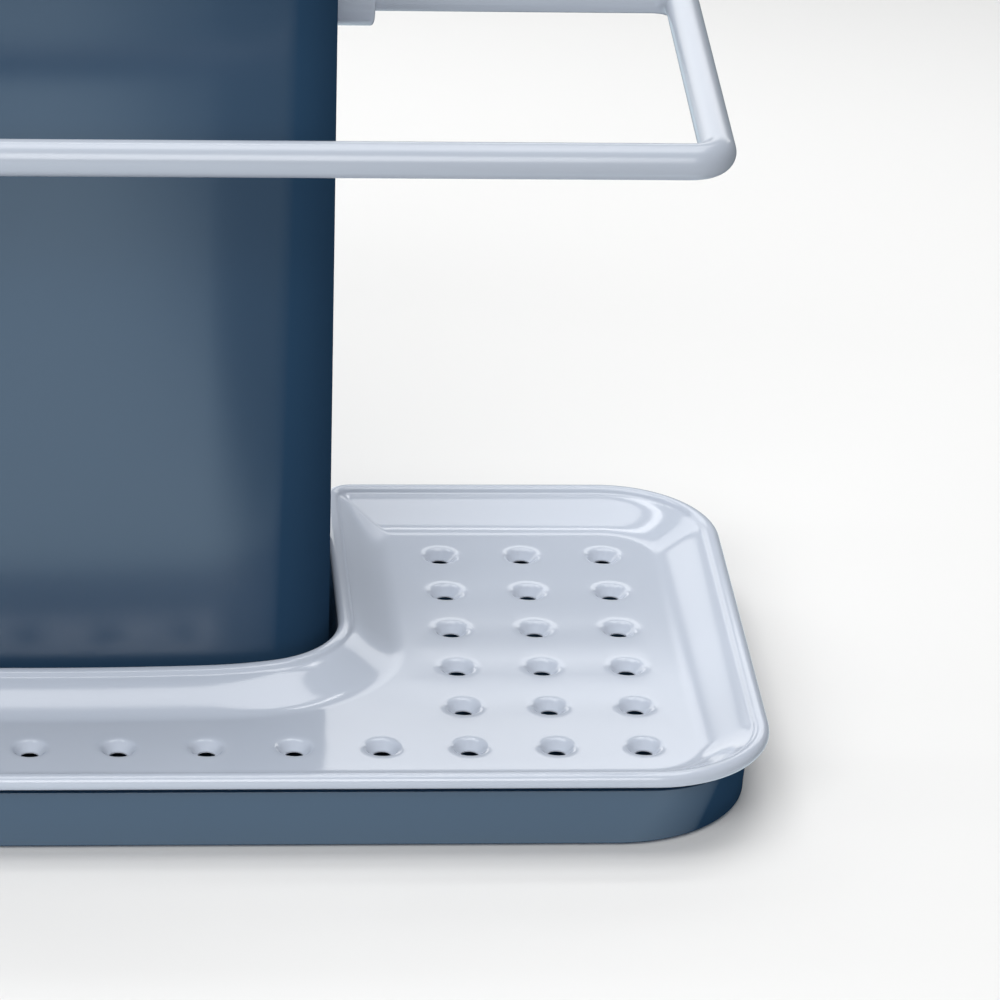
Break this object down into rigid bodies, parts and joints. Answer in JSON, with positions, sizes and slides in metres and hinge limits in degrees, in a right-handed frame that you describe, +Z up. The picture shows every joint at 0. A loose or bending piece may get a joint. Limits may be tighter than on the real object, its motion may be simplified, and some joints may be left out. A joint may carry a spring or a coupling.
{
  "type": "kitchen sink caddy",
  "caption": "Kitchen sink caddy: base tray, U-shaped perforated drain tray, tall container with lift-out liner and divider, and a cloth rail.",
  "frame": {"origin": "centre of the object's box on the plane that its feet stand on", "axes": "+X to the right along the long side, +Y to the rear, +Z up"},
  "size_m": [0.2946, 0.1358, 0.1626],
  "materials": {
    "slate_gloss": "glossy moulded",
    "container_gloss": "glossy moulded",
    "pale_gloss": "glossy moulded",
    "rail_gloss": "soft gloss",
    "socket_plastic": "satin moulded",
    "liner_satin": "satin moulded",
    "divider_satin": "satin moulded",
    "foot_rubber": "matt rubber"
  },
  "bodies": {
    "base": {"base_tray": "slate_gloss", "foot_front_left": "foot_rubber", "foot_front_middle": "foot_rubber", "foot_front_right": "foot_rubber", "foot_rear_left": "foot_rubber", "foot_rear_middle": "foot_rubber", "foot_rear_right": "foot_rubber"},
    "drain_tray": {"drain_tray": "pale_gloss"},
    "container": {"container": "container_gloss", "rail_socket_left": "socket_plastic", "rail_socket_right": "socket_plastic", "rail": "rail_gloss"},
    "liner": {"liner": "liner_satin"},
    "divider": {"divider": "divider_satin"}
  },
  "joints": [
    {"name": "drain_tray_lift", "type": "slide", "parent": "base", "child": "drain_tray", "axis": [0, 0, 1], "range_m": [0, 0.06]},
    {"name": "container_lift", "type": "slide", "parent": "base", "child": "container", "axis": [0, 0, 1], "range_m": [0, 0.04]},
    {"name": "liner_lift", "type": "slide", "parent": "container", "child": "liner", "axis": [0, 0, 1], "range_m": [0, 0.16]},
    {"name": "divider_lift", "type": "slide", "parent": "liner", "child": "divider", "axis": [0, 0, 1], "range_m": [0, 0.155]}
  ]
}
